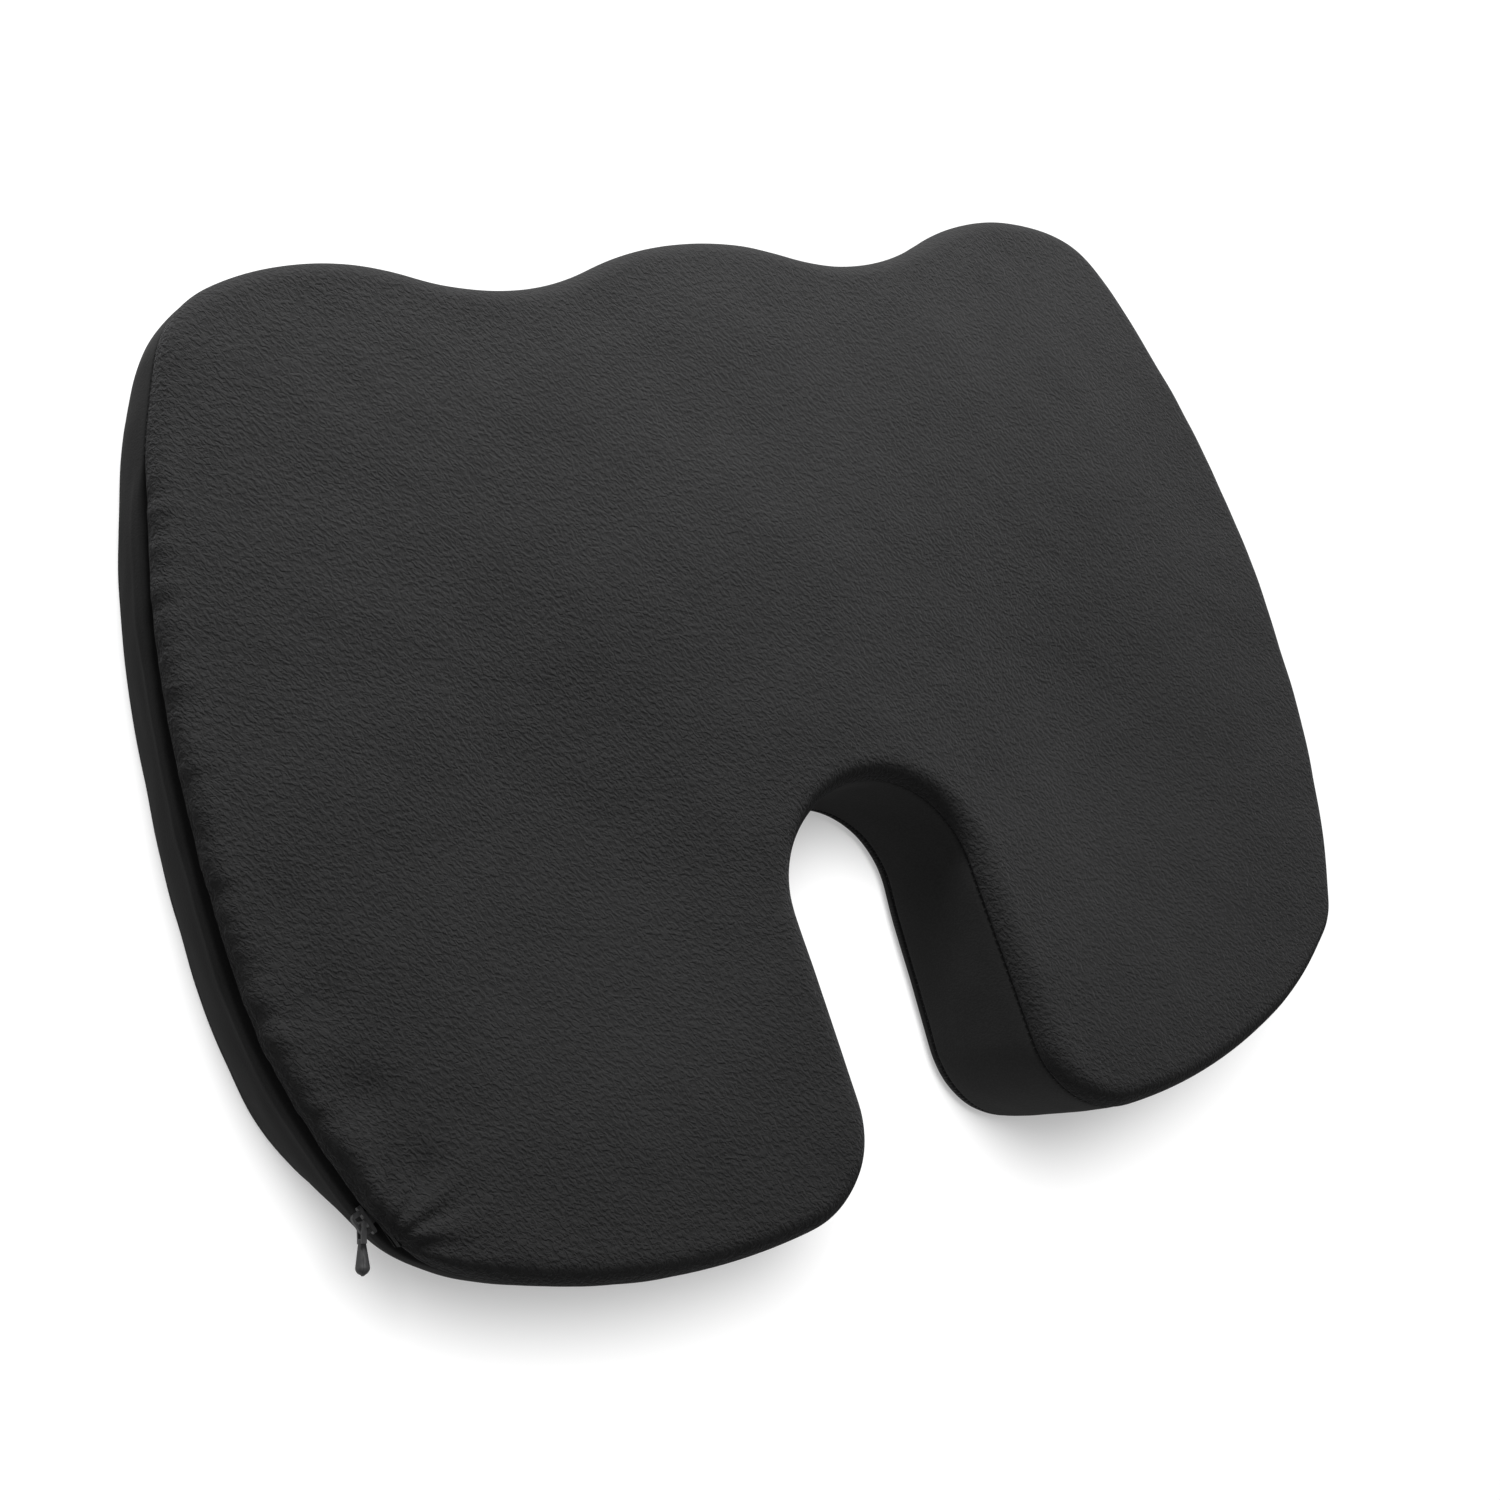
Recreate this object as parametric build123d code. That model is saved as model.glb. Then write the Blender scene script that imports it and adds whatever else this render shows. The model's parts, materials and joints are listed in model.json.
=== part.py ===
"""Coccyx cut-out seat cushion: moulded foam core in a liner and a zip-off fabric cover.

Frame: millimetres, the cushion lies flat on z = 0 with its seat face up (+Z). The knee edge faces +Y,
the tailbone notch opens towards -Y, and the zip runs along the -X side. x = 0 is the plane of symmetry.
"""
from build123d import *
import math
import os

os.makedirs("parts", exist_ok=True)

# ---- overall plan, a closed chain of tangent arcs (right half; the left half mirrors it) ----
HALF_WIDTH = 225.0          # widest point of the side arcs
KNEE_Y = 170.0              # front centre hump
DIP_X, DIP_Y = 72.0, 157.0  # thigh dips either side of the hump
LOBE_X, LOBE_Y = 143.5, 172.0   # front lobes
BACK_Y = -172.0             # rearmost point of each leg
BACK_X = 83.0
HUMP_R = 120.0
FRONT_CORNER_R = 38.0
SIDE_R = 390.0              # long side arc, which the zip follows
SIDE_CENTRE_Y = 0.0
REAR_CORNER_R = 26.0
BACK_R = 215.0
LEG_CORNER_R = 34.0
NOTCH_HALF_WIDTH = 36.5
NOTCH_APEX_Y = -36.5

# ---- heights ----
MID_HEIGHT = 59.0           # rim height at y = 0 on the sides
SLOPE = 0.070               # the seat face falls towards the knees by this much per mm
CROWN = 5.0                 # extra height on the centre line
BOWL_DEPTH = 10.0           # two shallow seat hollows
BOWL_X, BOWL_Y = 105.0, -42.0
BOWL_SIGMA_X, BOWL_SIGMA_Y = 42.0, 52.0
DRAFT = 0.03                # the side walls lean inwards by this much per mm of height
RIM_R = 7.5                 # rounding of the cover's top edge
BASE_R = 6.0                # rounding of the cover's bottom edge

# ---- layers, measured inwards from the cover's outer face ----
GRIP_T = 0.8                # silicone print under the base
LAYER_GAP = 0.2
COVER_T = 1.4
LINER_OUT = COVER_T + LAYER_GAP
LINER_T = 0.8
CORE_OUT = LINER_OUT + LINER_T + LAYER_GAP
BASE_Z = GRIP_T + LAYER_GAP  # underside of the cover

# ---- grip print: three flat fields under the base ----
FRONT_GRIP_X, FRONT_GRIP_Y0, FRONT_GRIP_Y1 = 180.0, -12.0, 134.0
LEG_GRIP_X0, LEG_GRIP_X1, LEG_GRIP_Y0, LEG_GRIP_Y1 = 52.0, 165.0, -146.0, -22.0
GRIP_CORNER_R = 18.0

# ---- seams ----
SEAM_DROP = 8.5            # top seam below the seat face
BASE_SEAM_Z = BASE_Z + 8.0
SEAM_GAP = 1.1
THREAD = 0.6
THREAD_OUT = 0.4
BAND_JOIN_X = 75.0          # where the notch band meets the side bands
JOIN_GAP = 0.4

# ---- zip, laid out on the circle that the left top seam follows in its own tilted plane ----
# Radial sizes (D) are distances outside the seam circle, so those inside the cover are negative.
# N is height above the tilted plane. Angles run from the -X direction, positive towards the knees.
ZIP_CLOSED_DEG = -18.4      # slider position at rest
ZIP_START_DEG, ZIP_END_DEG = -20.1, 14.9    # ends of the tapes
COIL_START_DEG, COIL_END_DEG = -19.3, 14.1
STOP_DEG, STOP_GAP_DEG = 0.35, 0.05     # length of each end stop and its gap from the coil
GROOVE_HALF = 1.9           # half the open width between top panel and side band
TAPE_D0, TAPE_D1 = -3.3, -2.8
TAPE_INNER_N, TAPE_UPPER_N, TAPE_LOWER_N = 0.8, 4.2, 12.5
COIL_D0, COIL_D1 = -5.4, -3.5
COIL_N0, COIL_N1 = 0.7, 2.6
POCKET_D, POCKET_N = -8.3, 5.3          # hollow in the padding behind the slider
TAPE_POCKET_D, TAPE_POCKET_N = -4.1, 14.5
POCKET_END_DEG = 1.0        # how far the hollow runs past each tape end

# ---- slider, straddling the seam ----
SLIDER_LEN = 9.0
PLATE_HALF_N = 4.6
INNER_PLATE_D0, INNER_PLATE_D1 = -7.3, -5.9
FLANGE_D1, FLANGE_N0, FLANGE_SHORTER = -3.7, 3.1, 1.7
NECK_LEN, NECK_HALF_N = 4.0, 0.35
OUTER_PLATE_D0, OUTER_PLATE_D1, OUTER_PLATE_HALF_N = -0.8, 0.4, 1.4
BRIDGE_D1, BRIDGE_BAR, BRIDGE_LEN, BRIDGE_HALF_N = 3.4, 0.8, 7.0, 1.0
BRIDGE_POST = 1.3
WELD = 0.2                  # overlap that joins the slider's blocks into one casting

# ---- pull tab, along its own length from the hinge pin ----
PIN_D = 1.5                 # pin distance outside the seam circle
PIN_RADIUS = 0.75
ARM_N0, ARM_N1, ARM_HALF = 1.4, 2.4, 0.75
ARM_LEN = 5.0
YOKE_START, YOKE_END = 4.2, 5.6     # cross bar that joins the arms to the grip
TAB_START, TAB_END = 4.6, 14.2
TAB_NECK_R, TAB_R = 1.0, 2.1
SEAM_HALF, SEAM_RISE = 0.3, 0.25    # mould line down the grip
PULL_REST_DEG = 33.0        # how far the tab stands off the zip line at rest

TALL = 150.0


def height(x, y):
    """Seat face height above the floor."""
    crown = CROWN * (1 - (x / HALF_WIDTH) ** 2)
    bowls = 0.0
    for side in (-1, 1):
        u = (x - side * BOWL_X) / BOWL_SIGMA_X
        v = (y - BOWL_Y) / BOWL_SIGMA_Y
        bowls += BOWL_DEPTH * math.exp(-0.5 * (u * u + v * v))
    return MID_HEIGHT - SLOPE * y + crown - bowls


def circle_crossing(a, ra, b, rb, pick):
    """The crossing of two circles for which pick(x, y) is largest."""
    dx, dy = b[0] - a[0], b[1] - a[1]
    dist = math.hypot(dx, dy)
    along = (ra * ra - rb * rb + dist * dist) / (2 * dist)
    off = math.sqrt(ra * ra - along * along)
    px, py = a[0] + dx * along / dist, a[1] + dy * along / dist
    options = [(px - dy * off / dist * s, py + dx * off / dist * s) for s in (-1, 1)]
    return max(options, key=lambda p: pick(*p))


def half_chain():
    """Arc centres with signed radii, positive bulging outwards, from the knee hump to the notch."""
    drop = KNEE_Y - DIP_Y
    dip_r = (drop ** 2 + DIP_X ** 2) / (2 * drop) - HUMP_R
    rise, run = LOBE_Y - DIP_Y, LOBE_X - DIP_X
    lobe_r = (rise ** 2 + run ** 2) / (2 * rise) - dip_r
    hump = (0.0, KNEE_Y - HUMP_R)
    dip = (DIP_X, DIP_Y + dip_r)
    lobe = (LOBE_X, LOBE_Y - lobe_r)
    side = (HALF_WIDTH - SIDE_R, SIDE_CENTRE_Y)
    back = (BACK_X, BACK_Y + BACK_R)
    front_corner = circle_crossing(
        lobe, lobe_r - FRONT_CORNER_R, side, SIDE_R - FRONT_CORNER_R, lambda x, y: x + y)
    rear_corner = circle_crossing(
        side, SIDE_R - REAR_CORNER_R, back, BACK_R - REAR_CORNER_R, lambda x, y: x - y)
    leg_x = NOTCH_HALF_WIDTH + LEG_CORNER_R
    leg_y = back[1] - math.sqrt((BACK_R - LEG_CORNER_R) ** 2 - (leg_x - BACK_X) ** 2)
    return [(hump, HUMP_R), (dip, -dip_r), (lobe, lobe_r), (front_corner, FRONT_CORNER_R), (side, SIDE_R),
            (rear_corner, REAR_CORNER_R), (back, BACK_R), ((leg_x, leg_y), LEG_CORNER_R)]


def arc_between(centre, start, end, radius, bulge):
    """Three-point arc from start to end about centre, on the side of the unit vector bulge."""
    mid = Vector(centre[0] + bulge[0] * radius, centre[1] + bulge[1] * radius, 0)
    return Edge.make_three_point_arc(Vector(*start, 0), mid, Vector(*end, 0))


def outline_wire(inset):
    """Closed plan outline, moved inwards by inset."""
    chain = [(centre, radius - inset) for centre, radius in half_chain()]
    points = [(0.0, chain[0][0][1] + chain[0][1])]
    for (ca, ra), (cb, rb) in zip(chain, chain[1:]):
        share = ra / (ra - rb)
        points.append((ca[0] + (cb[0] - ca[0]) * share, ca[1] + (cb[1] - ca[1]) * share))
    wall_x = NOTCH_HALF_WIDTH + inset
    notch_y = NOTCH_APEX_Y - NOTCH_HALF_WIDTH
    points.append((wall_x, chain[-1][0][1]))
    edges = []
    for (centre, radius), start, end in zip(chain, points, points[1:]):
        mx, my = (start[0] + end[0]) / 2 - centre[0], (start[1] + end[1]) / 2 - centre[1]
        norm = math.hypot(mx, my)
        edges.append(arc_between(centre, start, end, abs(radius), (mx / norm, my / norm)))
    edges.append(Edge.make_line(Vector(*points[-1], 0), Vector(wall_x, notch_y, 0)))
    half = math.sqrt(0.5)
    edges.append(arc_between((0, notch_y), (wall_x, notch_y), (0, notch_y + wall_x), wall_x, (half, half)))
    mirrored = [edge.mirror(Plane.YZ) for edge in edges]
    return Wire(edges + mirrored)


def under_seat(drop):
    """Everything below the seat face lowered by drop."""
    xs = [-240 + 20 * i for i in range(25)]
    ys = [-195 + 19.5 * j for j in range(21)]
    grid = [[Vector(x, y, height(x, y) - drop) for y in ys] for x in xs]
    face = Face.make_surface_from_array_of_points(grid, tol=0.02, min_deg=3, max_deg=6)
    return Solid.extrude(face, Vector(0, 0, -TALL))


def wall_inset(z):
    """How far the leaning side wall has moved in from the base outline at height z."""
    return DRAFT * (z - BASE_Z)


def prism(inset, z0, z1):
    """Leaning-walled column between two heights, its wall moved inwards by inset."""
    low = outline_wire(inset + wall_inset(z0)).moved(Pos(0, 0, z0))
    high = outline_wire(inset + wall_inset(z1)).moved(Pos(0, 0, z1))
    return Solid.make_loft([low, high], ruled=True)


def padded_block(inset):
    """The cushion's outer shape, every face moved inwards by inset."""
    block = prism(inset, BASE_Z + inset, TALL - 30) & under_seat(inset)
    block = block.solids()[0]
    rim = [e for e in block.edges() if min(v.Z for v in e.vertices()) > 25]
    block = fillet(rim, RIM_R - inset)
    base = [e for e in block.edges() if max(v.Z for v in e.vertices()) < BASE_Z + inset + 0.01]
    return fillet(base, BASE_R - inset)


def cushion_layer(outer_inset, inner_inset):
    """Closed skin between two insets of the cushion's shape."""
    return padded_block(outer_inset) - padded_block(inner_inset)


def slab(z0, z1):
    """Wide flat block used to cut at level heights."""
    return Pos(0, 0, (z0 + z1) / 2) * Box(600, 600, z1 - z0)


def column(x0, x1, y0, y1):
    """Tall block used to cut in plan."""
    return Pos((x0 + x1) / 2, (y0 + y1) / 2, TALL / 2) * Box(x1 - x0, y1 - y0, 2 * TALL)


def side_seam_point(degrees):
    """Point on the left top seam, seen from the side arc's centre."""
    turn = math.radians(degrees)
    z = MID_HEIGHT
    for _ in range(30):
        radius = SIDE_R - wall_inset(z)
        y = SIDE_CENTRE_Y + radius * math.sin(turn)
        z = MID_HEIGHT - SLOPE * y - SEAM_DROP
    return Vector(SIDE_R - HALF_WIDTH - radius * math.cos(turn), y, z)


def zip_circle():
    """The seam circle's plane and radius. Its local x points to -X, y to the back and z up."""
    tilt = math.atan(SLOPE)
    middle = side_seam_point(0)
    rough = Plane(origin=(SIDE_R - HALF_WIDTH, middle.Y, middle.Z), x_dir=(-1, 0, 0),
                  z_dir=(0, math.sin(tilt), math.cos(tilt)))
    (ax, ay), (bx, by), (cx, cy) = [
        (p.X, p.Y) for p in (rough.to_local_coords(side_seam_point(d)) for d in (-18, 0, 18))]
    d = 2 * (ax * (by - cy) + bx * (cy - ay) + cx * (ay - by))
    a2, b2, c2 = ax * ax + ay * ay, bx * bx + by * by, cx * cx + cy * cy
    ux = (a2 * (by - cy) + b2 * (cy - ay) + c2 * (ay - by)) / d
    uy = (a2 * (cx - bx) + b2 * (ax - cx) + c2 * (bx - ax)) / d
    centre = rough.from_local_coords(Vector(ux, uy, 0))
    return Plane(origin=centre, x_dir=rough.x_dir, z_dir=rough.z_dir), math.hypot(ax - ux, ay - uy)


ZIP_PLANE, ZIP_R = zip_circle()


def at_zip(shape, degrees):
    """Moves a shape built at the zip circle's local x axis to an angle along the zip."""
    return ZIP_PLANE.location * (Rot(0, 0, -degrees) * shape)


def zip_ring(points, start, end):
    """Solid swept along the zip circle from a closed (D, N) outline."""
    corners = [Vector(ZIP_R + d, 0, n) for d, n in points]
    face = Face(Wire.make_polygon(corners, close=True))
    ring = revolve(face, axis=Axis.Z, revolution_arc=end - start)
    turned_forward = min(v.Y for v in ring.vertices()) > -1e-3
    return ZIP_PLANE.location * (Rot(0, 0, -end if turned_forward else -start) * ring)


def zip_bar(d0, d1, n0, n1, start, end):
    return zip_ring([(d0, n0), (d1, n0), (d1, n1), (d0, n1)], start, end)


def zip_pocket(grow):
    """Space along the zip that the padding is held out of."""
    pad = POCKET_END_DEG + math.degrees(grow / SIDE_R)
    slider_d, tape_d = POCKET_D - grow, TAPE_POCKET_D - grow
    slider_n, tape_n = -POCKET_N - grow, -TAPE_POCKET_N - grow
    outline = [(slider_d, 60), (slider_d, slider_n), (tape_d, slider_n),
               (tape_d, tape_n), (20, tape_n), (20, 60)]
    return zip_ring(outline, ZIP_START_DEG - pad, ZIP_END_DEG + pad)


def cover_parts():
    """Top panel, three side bands and base panel, parted at the seams."""
    skin = cushion_layer(0, COVER_T)
    groove = zip_bar(-12, 12, -GROOVE_HALF, GROOVE_HALF, ZIP_START_DEG, ZIP_END_DEG)
    top = skin - under_seat(SEAM_DROP - SEAM_GAP / 2) - groove
    base = skin & slab(0, BASE_SEAM_Z - SEAM_GAP / 2)
    band = (skin & under_seat(SEAM_DROP + SEAM_GAP / 2) & slab(BASE_SEAM_Z + SEAM_GAP / 2, TALL)) - groove
    half = JOIN_GAP / 2
    right_plan = column(half, 300, 0, 300) + column(BAND_JOIN_X + half, 300, -300, 0)
    return {
        "cover_top_panel": top,
        "cover_base_panel": base,
        "side_band_right": band & right_plan,
        "side_band_zip_side": band & right_plan.mirror(Plane.YZ),
        "side_band_notch": band & column(half - BAND_JOIN_X, BAND_JOIN_X - half, -300, 0),
    }


def seam_threads():
    """Stitching thread lying in the top and base seams, open along the zip."""
    wall = prism(THREAD_OUT, 1, TALL - 30) - prism(THREAD_OUT + THREAD, 0, TALL)
    zip_gap = zip_bar(-12, 12, -9, 9, ZIP_START_DEG - 0.3, ZIP_END_DEG + 0.3)
    half = THREAD / 2
    top = (wall & under_seat(SEAM_DROP - half)) - under_seat(SEAM_DROP + half) - zip_gap
    base = wall & slab(BASE_SEAM_Z - half, BASE_SEAM_Z + half)
    return {"top_seam_thread": top, "base_seam_thread": base}


def padding():
    """Foam core and the thin liner around it, both held back behind the zip."""
    core = padded_block(CORE_OUT) - zip_pocket(LINER_T + LAYER_GAP)
    liner_out = padded_block(LINER_OUT) - zip_pocket(0)
    liner_in = padded_block(LINER_OUT + LINER_T) - zip_pocket(LINER_T)
    return {"foam_core": core, "core_liner": liner_out - liner_in}


def grip_field(x0, x1, y0, y1):
    plate = Pos((x0 + x1) / 2, (y0 + y1) / 2, GRIP_T / 2) * Box(x1 - x0, y1 - y0, GRIP_T)
    return fillet(plate.edges().filter_by(Axis.Z), GRIP_CORNER_R)


def grip_print():
    fields = [
        grip_field(-FRONT_GRIP_X, FRONT_GRIP_X, FRONT_GRIP_Y0, FRONT_GRIP_Y1),
        grip_field(LEG_GRIP_X0, LEG_GRIP_X1, LEG_GRIP_Y0, LEG_GRIP_Y1),
        grip_field(-LEG_GRIP_X1, -LEG_GRIP_X0, LEG_GRIP_Y0, LEG_GRIP_Y1),
    ]
    return Compound(children=[field.solids()[0] for field in fields])


def zip_fixed_parts():
    closed_stop = COIL_START_DEG - STOP_GAP_DEG
    open_stop = COIL_END_DEG + STOP_GAP_DEG
    return {
        "zip_tape_upper": zip_bar(TAPE_D0, TAPE_D1, TAPE_INNER_N, TAPE_UPPER_N, ZIP_START_DEG, ZIP_END_DEG),
        "zip_tape_lower": zip_bar(TAPE_D0, TAPE_D1, -TAPE_LOWER_N, -TAPE_INNER_N, ZIP_START_DEG, ZIP_END_DEG),
        "zip_coil_upper": zip_bar(COIL_D0, COIL_D1, COIL_N0, COIL_N1, COIL_START_DEG, COIL_END_DEG),
        "zip_coil_lower": zip_bar(COIL_D0, COIL_D1, -COIL_N1, -COIL_N0, COIL_START_DEG, COIL_END_DEG),
        "zip_closed_stop": zip_bar(COIL_D0, COIL_D1, -COIL_N1, COIL_N1, closed_stop - STOP_DEG, closed_stop),
        "zip_open_stop": zip_bar(COIL_D0, COIL_D1, -COIL_N1, COIL_N1, open_stop, open_stop + STOP_DEG),
    }


def block(x0, x1, y0, y1, n0, n1):
    return Pos((x0 + x1) / 2, (y0 + y1) / 2, (n0 + n1) / 2) * Box(x1 - x0, y1 - y0, n1 - n0)


def slider():
    """Slider on the seam circle's local x axis: plate behind the coils, neck, face plate, bridge."""
    half = SLIDER_LEN / 2
    back = block(INNER_PLATE_D0, INNER_PLATE_D1, -half, half, -PLATE_HALF_N, PLATE_HALF_N)
    body = fillet(back.edges().filter_by(Axis.X), 1.6)
    flange_half = half - FLANGE_SHORTER
    for side in (-1, 1):
        n0, n1 = sorted((side * FLANGE_N0, side * PLATE_HALF_N))
        body += block(INNER_PLATE_D1 - WELD, FLANGE_D1, -flange_half, flange_half, n0, n1)
    body += block(INNER_PLATE_D1 - WELD, OUTER_PLATE_D0 + WELD, -NECK_LEN / 2, NECK_LEN / 2,
                  -NECK_HALF_N, NECK_HALF_N)
    face_plate = block(OUTER_PLATE_D0, OUTER_PLATE_D1, -half, half, -OUTER_PLATE_HALF_N, OUTER_PLATE_HALF_N)
    body += fillet(face_plate.edges().filter_by(Axis.X), 1.2)
    bridge_half = BRIDGE_LEN / 2
    arch = block(OUTER_PLATE_D1 - WELD, BRIDGE_D1, -bridge_half, bridge_half, -BRIDGE_HALF_N, BRIDGE_HALF_N)
    arch = fillet(arch.edges().filter_by(Axis.Z).sort_by(Axis.X)[-2:], 1.4)
    window_half = bridge_half - BRIDGE_POST
    window = block(OUTER_PLATE_D1, BRIDGE_D1 - BRIDGE_BAR, -window_half, window_half, -2, 2)
    return Pos(ZIP_R, 0, 0) * (body + (arch - window))


def turned_grip(extra):
    """Teardrop turned about the tab's length, extra thicker than the grip's own profile."""
    neck, round_r = TAB_NECK_R + extra, TAB_R + extra
    middle = TAB_END - TAB_R
    start, tip = Vector(TAB_START, 0, 0), Vector(middle + round_r, 0, 0)
    shoulder, widest = Vector(TAB_START, neck, 0), Vector(middle, round_r, 0)
    half = round_r * math.sqrt(0.5)
    edges = [
        Edge.make_line(start, shoulder),
        Edge.make_line(shoulder, widest),
        Edge.make_three_point_arc(widest, Vector(middle + half, half, 0), tip),
        Edge.make_line(tip, start),
    ]
    return revolve(Face(Wire(edges)), axis=Axis.X)


def pull_tab():
    """Pull tab along +x from the pin: pin, two arms beside the bridge, teardrop grip, mould line."""
    tab = Cylinder(PIN_RADIUS, 2 * ARM_N1)
    for side in (-1, 1):
        n0, n1 = sorted((side * ARM_N0, side * ARM_N1))
        tab += block(0, ARM_LEN, -ARM_HALF, ARM_HALF, n0, n1)
        tab += Pos(0, 0, (n0 + n1) / 2) * Cylinder(ARM_HALF, n1 - n0)
    tab += block(YOKE_START, YOKE_END, -ARM_HALF, ARM_HALF, -ARM_N1, ARM_N1)
    mould_line = turned_grip(SEAM_RISE) & block(TAB_START, TAB_END + 1, -SEAM_HALF, SEAM_HALF, -4, 4)
    return tab + turned_grip(0) + mould_line


def moving_parts():
    tab = Pos(ZIP_R + PIN_D, 0, 0) * (Rot(0, 0, 90 - PULL_REST_DEG) * pull_tab())
    return {"zip_slider": at_zip(slider(), ZIP_CLOSED_DEG), "zip_pull": at_zip(tab, ZIP_CLOSED_DEG)}


def build():
    parts = cover_parts()
    parts.update(seam_threads())
    parts.update(padding())
    parts["grip_print"] = grip_print()
    parts.update(zip_fixed_parts())
    parts.update(moving_parts())
    return parts


for name, shape in build().items():
    shape.label = name
    export_step(shape, f"parts/{name}.step")
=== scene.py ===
"""Looks of the coccyx cut-out seat cushion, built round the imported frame.

Sizes in the tables below are millimetres in the frame's own axes; meshes are written in metres.
The seat face is up (+Z), the knee edge faces +Y, the tailbone notch opens to -Y, the zip is on -X.
"""

import json
import math

import bpy
import numpy as np
from mathutils import Matrix, Vector, noise
from mathutils.geometry import delaunay_2d_cdt

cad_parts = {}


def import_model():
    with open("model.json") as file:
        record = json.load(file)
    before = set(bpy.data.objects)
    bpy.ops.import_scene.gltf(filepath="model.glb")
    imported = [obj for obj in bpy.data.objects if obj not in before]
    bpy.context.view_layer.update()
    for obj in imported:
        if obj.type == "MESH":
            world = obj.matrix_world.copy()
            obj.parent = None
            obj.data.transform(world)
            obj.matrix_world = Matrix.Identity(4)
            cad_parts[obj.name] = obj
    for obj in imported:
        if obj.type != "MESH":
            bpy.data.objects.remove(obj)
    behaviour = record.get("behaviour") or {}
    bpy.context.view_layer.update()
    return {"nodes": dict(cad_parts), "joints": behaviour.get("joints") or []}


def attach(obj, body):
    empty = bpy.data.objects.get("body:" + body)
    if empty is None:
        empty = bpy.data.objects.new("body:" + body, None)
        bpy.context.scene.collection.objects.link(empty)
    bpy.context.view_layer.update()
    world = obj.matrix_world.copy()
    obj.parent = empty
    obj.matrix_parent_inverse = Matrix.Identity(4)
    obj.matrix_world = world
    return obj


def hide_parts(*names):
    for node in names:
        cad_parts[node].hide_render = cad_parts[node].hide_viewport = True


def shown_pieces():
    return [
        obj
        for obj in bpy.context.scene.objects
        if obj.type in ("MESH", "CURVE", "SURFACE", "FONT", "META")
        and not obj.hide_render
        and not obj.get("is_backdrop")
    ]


MM = 0.001

# ---- plan outline: a closed chain of tangent arcs, right half ----
HALF_WIDTH = 225.0
KNEE_Y = 170.0
DIP_X, DIP_Y = 72.0, 157.0
LOBE_X, LOBE_Y = 143.5, 172.0
BACK_X, BACK_Y = 83.0, -172.0
HUMP_R, FRONT_CORNER_R, SIDE_R, REAR_CORNER_R, BACK_R, LEG_CORNER_R = 120.0, 38.0, 390.0, 26.0, 215.0, 34.0
NOTCH_HALF_WIDTH = 36.5
NOTCH_APEX_Y = -36.5

# ---- heights and wall shape ----
MID_HEIGHT, SLOPE, CROWN = 59.0, 0.070, 5.0
BOWL_DEPTH, BOWL_X, BOWL_Y, BOWL_SIGMA_X, BOWL_SIGMA_Y = 10.0, 105.0, -42.0, 42.0, 52.0
BASE_Z, DRAFT, RIM_R, BASE_R = 1.0, 0.03, 7.5, 6.0
SEAM_DROP, BASE_SEAM_Z = 8.5, 9.0

# ---- zip, as angles round the side arc's centre, from -X and positive towards the knees ----
ZIP_START_DEG, ZIP_END_DEG = -20.1, 14.9
ZIP_FADE = 14.0             # length over which the groove narrows into a plain seam
ZIP_SIDE_X = -100.0         # the zip's side lies beyond this x
GROOVE_HALF, GROOVE_DEPTH = 1.9, 2.7
SEAM_HALF, SEAM_DEPTH = 0.4, 1.2

# ---- mesh ----
COLUMN_STEP = 3.6           # spacing round the outline
TOP_STEP = 4.2              # spacing over the seat face
BASE_STEP = 9.0
WALL_ROWS = 10
RING_GAPS = (3.4, 6.9, 10.6)    # rings inside the rim and inside the base's rounding
NOTCH_BAND_X = 75.0         # where the notch's band meets the side bands

# ---- padding and fabric movement ----
BAND_BULGE, PLAIN_BULGE_SHARE = 1.6, 0.6    # the zip side's band stands out most
# places where the padding leaves the cut shape: x, y, how far in at every height (negative is out) and its
# reach, how much further in at the foot and its reach
SLACK = (
    (-199.0, -137.0, 2.0, 16.0, 11.0, 31.0),
    (-218.0, -65.0, -3.0, 42.0, 3.0, 42.0),
    (-224.0, 22.0, 0.0, 50.0, 2.6, 60.0),
    (199.0, -136.0, 3.5, 28.0, 8.0, 46.0),
)
ZIP_SHADOW_GAP = 1.1        # the seat panel's edge sits this far behind the band's along the zip
CREASE_DROP, CREASE_OUT = 6.3, 0.7      # pressed edge of the zip facing, below the groove
FOLD_CENTRE, FOLD_COUNT, FOLD_HEIGHT = (-204.0, -130.0), 13, 0.7
DENTS = ((-196.0, -88.0, 1.6, 9.0, 8.0), (-200.0, -60.0, 1.0, 8.0, 7.0), (-188.0, -112.0, 1.2, 8.0, 7.0),
         (-203.0, -30.0, 0.8, 8.0, 9.0))

# ---- small pieces ----
STITCH_PITCH, STITCH_HALF, STITCH_R = 2.8, 1.0, 0.26
TOP_STITCH = ((-1.0, -0.75), (-0.55, -0.22), (0.55, -0.22), (1.0, -0.75))
BASE_STITCH = ((-1.0, -1.0), (-0.55, -0.62), (0.55, -0.62), (1.0, -1.0))
DOT_PITCH, DOT_R, DOT_DROP = 9.0, 2.0, 1.05
GRIP_FIELDS = ((-180, 180, -12, 134), (52, 165, -146, -22), (-165, -52, -146, -22))
TOOTH_PITCH, TOOTH_R = 1.6, 0.42
TOOTH_D, TOOTH_N, TOOTH_HALF_D, TOOTH_HALF_N = -4.45, 1.65, 0.5, 0.5
COIL_START_DEG, COIL_END_DEG = -19.3, 14.1
LINER_INSET, FOAM_INSET, INNER_STEP = 9.0, 10.2, 9.0

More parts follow.
